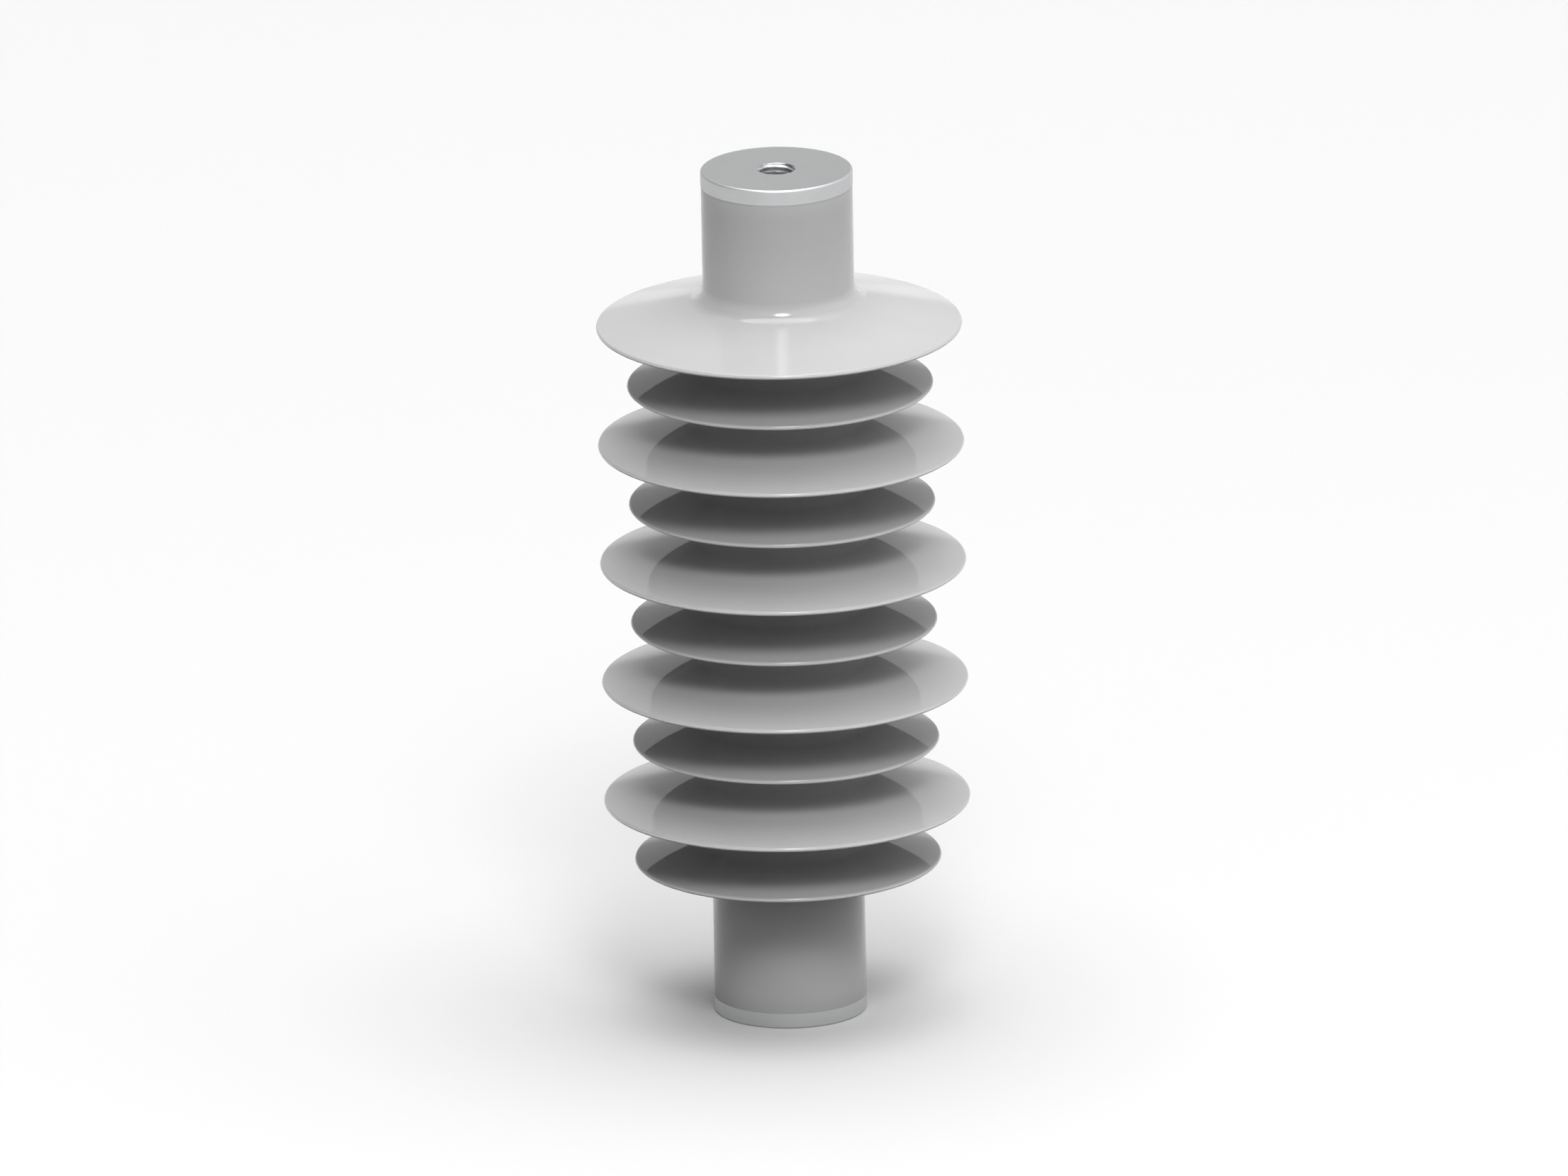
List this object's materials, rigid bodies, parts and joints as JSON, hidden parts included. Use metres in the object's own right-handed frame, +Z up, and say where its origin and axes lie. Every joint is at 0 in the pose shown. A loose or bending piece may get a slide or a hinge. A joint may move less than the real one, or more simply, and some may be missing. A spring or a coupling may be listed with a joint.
{
  "type": "post insulator",
  "caption": "Upright post insulator: a porcelain rod in a grey silicone housing with alternating large and small sheds, and a flush metal end fitting with a threaded hole at each end.",
  "frame": {"origin": "centre of the lower end fitting's outer face", "axes": "+Z up along the insulator's axis, out of the upper threaded hole; the part is a body of revolution, so +X and +Y are free"},
  "size_m": [0.15, 0.15, 0.359],
  "materials": {
    "silicone_housing": "smooth light grey silicone rubber with a soft gloss",
    "fitting_metal": "fine turned satin",
    "porcelain": "unglazed fired porcelain, ground on the outside",
    "cement": "hardened Portland cement",
    "felt_cushion": "pressed felt",
    "gasket_rubber": "black nitrile sheet"
  },
  "bodies": {
    "root": {"porcelain_core": "porcelain", "silicone_sheath": "silicone_housing", "upper_end_fitting": "fitting_metal", "upper_cement_joint": "cement", "upper_cushion_disc": "felt_cushion", "upper_face_gasket": "gasket_rubber", "lower_end_fitting": "fitting_metal", "lower_cement_joint": "cement", "lower_cushion_disc": "felt_cushion", "lower_face_gasket": "gasket_rubber", "shed_01": "silicone_housing", "shed_02": "silicone_housing", "shed_03": "silicone_housing", "shed_04": "silicone_housing", "shed_05": "silicone_housing", "shed_06": "silicone_housing", "shed_07": "silicone_housing", "shed_08": "silicone_housing", "shed_09": "silicone_housing", "shed_10": "silicone_housing"}
  },
  "joints": []
}
